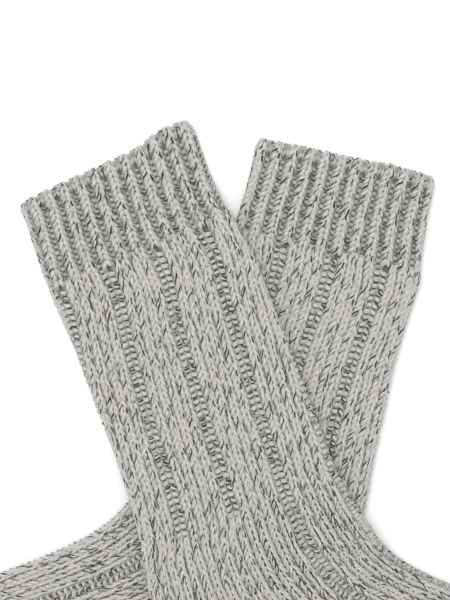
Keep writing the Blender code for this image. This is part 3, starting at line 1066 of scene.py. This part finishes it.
def lining_faces():
    """Outer tube, inner tube turned inside out, the rim and both tips."""
    ring = np.arange(LINING_RINGS - 1)[:, None] * LINING_SIDES
    side = np.arange(LINING_SIDES)
    turn = (side + 1) % LINING_SIDES
    below = LINING_RINGS * LINING_SIDES
    end = below - LINING_SIDES
    tip = np.full_like(side, 2 * below)
    near, far = ring + side, ring + turn
    outer = np.stack((near, far, far + LINING_SIDES, near + LINING_SIDES), axis=-1).reshape(-1, 4)
    rim = np.stack((turn, side, side + below, turn + below), axis=-1)
    cap = np.stack((end + side, end + turn, tip), axis=-1)
    cap_in = np.stack((end + turn + below, end + side + below, tip + 1), axis=-1)
    quads = np.concatenate((outer, outer[:, ::-1] + below, rim))
    return quads.tolist() + cap.tolist() + cap_in.tolist()


linings = {}
for sock in (BACK, FRONT):
    faces = lining_faces()
    if sock["side"] > 0:
        faces = [face[::-1] for face in faces]
    linings[sock["name"]] = mesh_object(sock["name"] + "_lining", lining_points(sock), faces)
print("linings:", [len(lining.data.polygons) for lining in linings.values()], "faces")

# %% [markdown]
# ## Marled yarn
#
# The yarn is soft light grey plies twisted together with two thin dark ones
# that come and go. Its UV map runs along the yarn and round it, so the way
# round plus a share of the length is a helix. A few helpers keep the node trees
# short to write. A colour Mix node's two colours are its inputs 6 and 7 and its
# result is output 2.


# %% Helpers for node trees
def node(tree, kind, inputs=None, **settings):
    """Add a node, set its options, and set or link its inputs by name or number."""
    made = tree.nodes.new(kind)
    for key, value in settings.items():
        setattr(made, key, value)
    for key, value in (inputs or {}).items():
        if isinstance(value, bpy.types.NodeSocket):
            tree.links.new(value, made.inputs[key])
        else:
            made.inputs[key].default_value = value
    return made


def calc(tree, operation, a, b=0.0):
    """A Math node's result."""
    return node(tree, "ShaderNodeMath", {0: a, 1: b}, operation=operation).outputs[0]


def ramp(tree, value, start, end):
    """0 up to 1 as the value goes from start to end, and held there outside."""
    return node(tree, "ShaderNodeMapRange", {0: value, 1: start, 2: end}).outputs[0]


def mix(tree, share, low, high):
    """Colour that goes from low to high with the share."""
    return node(tree, "ShaderNodeMix", {0: share, 6: low, 7: high}, data_type="RGBA").outputs[2]


def spots(tree, scale, detail):
    """Noise on Object coordinates, with `scale` spots in a metre."""
    settings = {"Scale": scale, "Detail": detail}
    settings["Vector"] = node(tree, "ShaderNodeTexCoord").outputs["Object"]
    return node(tree, "ShaderNodeTexNoise", settings).outputs[0]


def new_material(name, finish):
    """A material, its node tree and its Principled shader, which gets the finish."""
    material = bpy.data.materials.new(name)
    material.use_nodes = True
    shader = material.node_tree.nodes["Principled BSDF"]
    for key, value in finish.items():
        shader.inputs[key].default_value = value
    return material, material.node_tree, shader


def shaded(colour, share):
    """The colour times a share of its brightness."""
    return tuple(part * share for part in colour[:3]) + (1.0,)


print("half of white is", shaded((1.0, 1.0, 1.0, 1.0), 0.5))

# %% [markdown]
# A dark ply lies where the helix is near a whole number. A slow noise along
# the yarn lets it show in some places only, which gives the flecks of marl, so
# each dark ply has an offset round the yarn, a half width, and the noise from
# which it starts to show. The grooves between the light plies are the same
# helix, counted faster.

# %% Plies of the yarn
TWIST = 0.016
WAVER = 0.16
DARK_PLIES = ((0.0, 0.1, 0.485), (0.37, 0.08, 0.515))
FLECKS_A_METRE = 45.0
FLECK_EDGE = 0.06
PLY_EDGE = 0.6
PLIES = 4
GROOVE_WIDTH = 0.3
MOTTLES_A_METRE = 420.0


def helix_nodes(tree):
    """Helix = length / twist + way round + waver; with the length and the noise."""
    uv = node(tree, "ShaderNodeUVMap", uv_map="yarn").outputs[0]
    parts = node(tree, "ShaderNodeSeparateXYZ", {0: uv})
    length, turn = parts.outputs[0], parts.outputs[1]
    quick = spots(tree, MOTTLES_A_METRE, 2.0)
    helix = calc(tree, "ADD", calc(tree, "MULTIPLY", length, 1 / TWIST), turn)
    return calc(tree, "ADD", helix, calc(tree, "MULTIPLY", quick, WAVER)), length, quick


def dark_plies(tree, helix, length):
    """1 where a dark ply shows.

    A ply lies where helix + offset is within its half width of a whole number,
    and it shows where the slow noise is above its start.
    """
    settings = {"W": length, "Scale": FLECKS_A_METRE, "Detail": 1.0}
    slow = node(tree, "ShaderNodeTexNoise", settings, noise_dimensions="1D").outputs[0]
    mask = 0.0
    for offset, half_width, start in DARK_PLIES:
        near = calc(tree, "PINGPONG", calc(tree, "ADD", helix, offset), 0.5)
        line = ramp(tree, near, half_width, half_width * PLY_EDGE)
        shows = ramp(tree, slow, start, start + FLECK_EDGE)
        mask = calc(tree, "MAXIMUM", calc(tree, "MULTIPLY", line, shows), mask)
    return mask


def ply_height(tree, helix):
    """Height of the plies: 0 in the grooves, where plies x helix is whole, to 1."""
    groove = calc(tree, "PINGPONG", calc(tree, "MULTIPLY", helix, float(PLIES)), 0.5)
    return ramp(tree, groove, 0.0, GROOVE_WIDTH)


print("a ply winds once round in", TWIST / MM, "mm of yarn")

# %% [markdown]
# The colour goes from painted shade in the grooves to the ply, gets painted
# shade where the yarn lies deep, and gives way to the dark plies. The plies and
# a fine noise for the fibres make the bump, and a little sheen makes the wool
# look soft.

# %% Yarn and lining materials
LIGHT_GREY = (0.532, 0.517, 0.493, 1.0)
# The dark of the dark plies, and the dark that the painted deep shade mixes in.
DARK_PLY_AND_SHADE_GREY = (0.026, 0.0255, 0.025, 1.0)
# Painted shade: the loops' backs in shadow.
LINING_PAINTED_SHADE = (0.15, 0.147, 0.141, 1.0)
# Painted shade in the grooves between the plies: the light grey times this.
PAINTED_GROOVE_SHADE = 0.66
BRIGHTEST_MOTTLE = 1.3
# How much painted shade the deepest yarn gets.
PAINTED_DEEP_SHADE = 0.62
FIBRES_A_METRE = 1800.0
FIBRE_HEIGHT = 0.8
BUMP_DEPTH = 0.00025
BUMP_STRENGTH = 0.5
LINING_SPOTS_A_METRE = 600.0
LINING_SHADE = 0.6
WOOL = {"Roughness": 0.9, "Sheen Weight": 0.2, "Sheen Roughness": 0.6, "Specular IOR Level": 0.15}
LOOP_BACKS = {"Roughness": 0.95, "Specular IOR Level": 0.1}


def yarn_material(name, light, dark):
    """Marled wool.

    tone = (brightest mottle - noise) x ply height mixes the grooves' painted
    shade and the ply; depth x painted deep shade, which is painted shade where
    the yarn lies deep, and then the dark plies, mix in the dark.
    """
    material, tree, shader = new_material(name, WOOL)
    helix, length, quick = helix_nodes(tree)
    height = ply_height(tree, helix)
    tone = calc(tree, "MULTIPLY", calc(tree, "SUBTRACT", BRIGHTEST_MOTTLE, quick), height)
    # Painted shade: darker in the grooves between the plies.
    wool = mix(tree, tone, shaded(light, PAINTED_GROOVE_SHADE), light)
    # Painted shade where the yarn lies deep in the knit.
    depth = node(tree, "ShaderNodeAttribute", attribute_name="depth").outputs["Fac"]
    deep_shaded_wool = mix(tree, calc(tree, "MULTIPLY", depth, PAINTED_DEEP_SHADE), wool, dark)
    marl = mix(tree, dark_plies(tree, helix, length), deep_shaded_wool, dark)
    tree.links.new(marl, shader.inputs["Base Color"])
    fibre = spots(tree, FIBRES_A_METRE, 3.0)
    relief = calc(tree, "ADD", height, calc(tree, "MULTIPLY", fibre, FIBRE_HEIGHT))
    settings = {"Height": relief, "Strength": BUMP_STRENGTH, "Distance": BUMP_DEPTH}
    bump = node(tree, "ShaderNodeBump", settings).outputs[0]
    tree.links.new(bump, shader.inputs["Normal"])
    return material


def lining_material(name, colour):
    """Matt dark grey of painted shade for the loops' backs, mottled by noise."""
    material, tree, shader = new_material(name, LOOP_BACKS)
    mottled = mix(tree, spots(tree, LINING_SPOTS_A_METRE, 3.0), shaded(colour, LINING_SHADE), colour)
    tree.links.new(mottled, shader.inputs["Base Color"])
    return material


yarn_finish = yarn_material("marled_yarn", LIGHT_GREY, DARK_PLY_AND_SHADE_GREY)
# The lining gets painted shade for the loops' backs.
lining_finish = lining_material("knit_back_painted_shade", LINING_PAINTED_SHADE)
for name in knits:
    for piece in knits[name]:
        piece.data.materials.append(yarn_finish)
    linings[name].data.materials.append(lining_finish)
print("materials:", yarn_finish.name, lining_finish.name)

# %% [markdown]
# ## Tie the pieces to the frame
#
# The lining takes the place of the CAD solid, which is hidden. The lining and
# the knit's pieces are tied to the root.


for sock in (BACK, FRONT):
    name = sock["name"]
    lining = linings[name]
    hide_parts(name)
    for piece in knits[name] + [lining]:
        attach(piece, "root")

# %% [markdown]
# ## Table, light and camera
#
# The photograph looks straight down in soft even light, on white. A bright
# sky on all sides gives most of that light, and one large lamp beyond the cuffs
# adds just enough shade to tell the loops apart. The floor lies a hair below
# the socks, so that the two surfaces never fight for the same place.

# %% Stage
FLOOR_SIZE = 6.0
FLOOR_DROP = 0.0004
PALE_TABLE = {"Base Color": (0.9, 0.9, 0.9, 1.0), "Roughness": 0.9}
LAMP_PLACE = (-0.3, 0.5, 1.4)
LAMP_AIM = (0.0, 0.05, 0.0)
LAMP_SIZE = 0.8
LAMP_POWER = 10.5
SKY_COLOUR = (1.0, 1.0, 1.0, 1.0)
SKY_STRENGTH = 1.0
bpy.ops.mesh.primitive_plane_add(size=FLOOR_SIZE, location=(0.0, 0.0, -FLOOR_DROP))
floor = bpy.context.object
floor.name = "table_top"
floor.data.materials.append(new_material("pale_table", PALE_TABLE)[0])

lamp = bpy.data.lights.new("key_lamp", "AREA")
lamp.size = LAMP_SIZE
lamp.energy = LAMP_POWER
lamp_holder = bpy.data.objects.new("key_lamp", lamp)
lamp_holder.location = LAMP_PLACE
aim_x, aim_y, aim_z = np.subtract(LAMP_AIM, LAMP_PLACE)
tilt = math.atan2(math.hypot(aim_x, aim_y), -aim_z)
lamp_holder.rotation_euler = (tilt, 0.0, math.atan2(-aim_x, aim_y))
bpy.context.scene.collection.objects.link(lamp_holder)

world = bpy.data.worlds.new("soft_room")
world.use_nodes = True
sky = world.node_tree.nodes["Background"]
sky.inputs["Color"].default_value = SKY_COLOUR
sky.inputs["Strength"].default_value = SKY_STRENGTH
bpy.context.scene.world = world
bpy.context.scene.view_settings.view_transform = "Standard"
print("one lamp and a pale sky over a table", FLOOR_SIZE, "m wide")

# %% [markdown]
# The photograph is 450 by 600 pixels of half a millimetre. The camera looks
# down on the middle of that page from where its long side fills the picture. A
# long lens high above keeps the view flat, without near parts looking larger.

# %% Camera
PIXEL = 0.5
PHOTO_SIZE = (450, 600)
LENS = 100.0
SENSOR = 36.0
view_x = PHOTO_SIZE[0] / 2 * PIXEL - CENTRE[0]
view_y = -PHOTO_SIZE[1] / 2 * PIXEL - CENTRE[1]
camera = bpy.data.cameras.new("photo_camera")
camera.lens = LENS
camera.sensor_width = SENSOR
height = PHOTO_SIZE[1] * PIXEL * LENS / SENSOR + HALF_THICK
camera_holder = bpy.data.objects.new("photo_camera", camera)
camera_holder.location = (view_x * MM, view_y * MM, height * MM)
bpy.context.scene.collection.objects.link(camera_holder)
bpy.context.scene.camera = camera_holder
print("camera", round(height), "mm above the table")
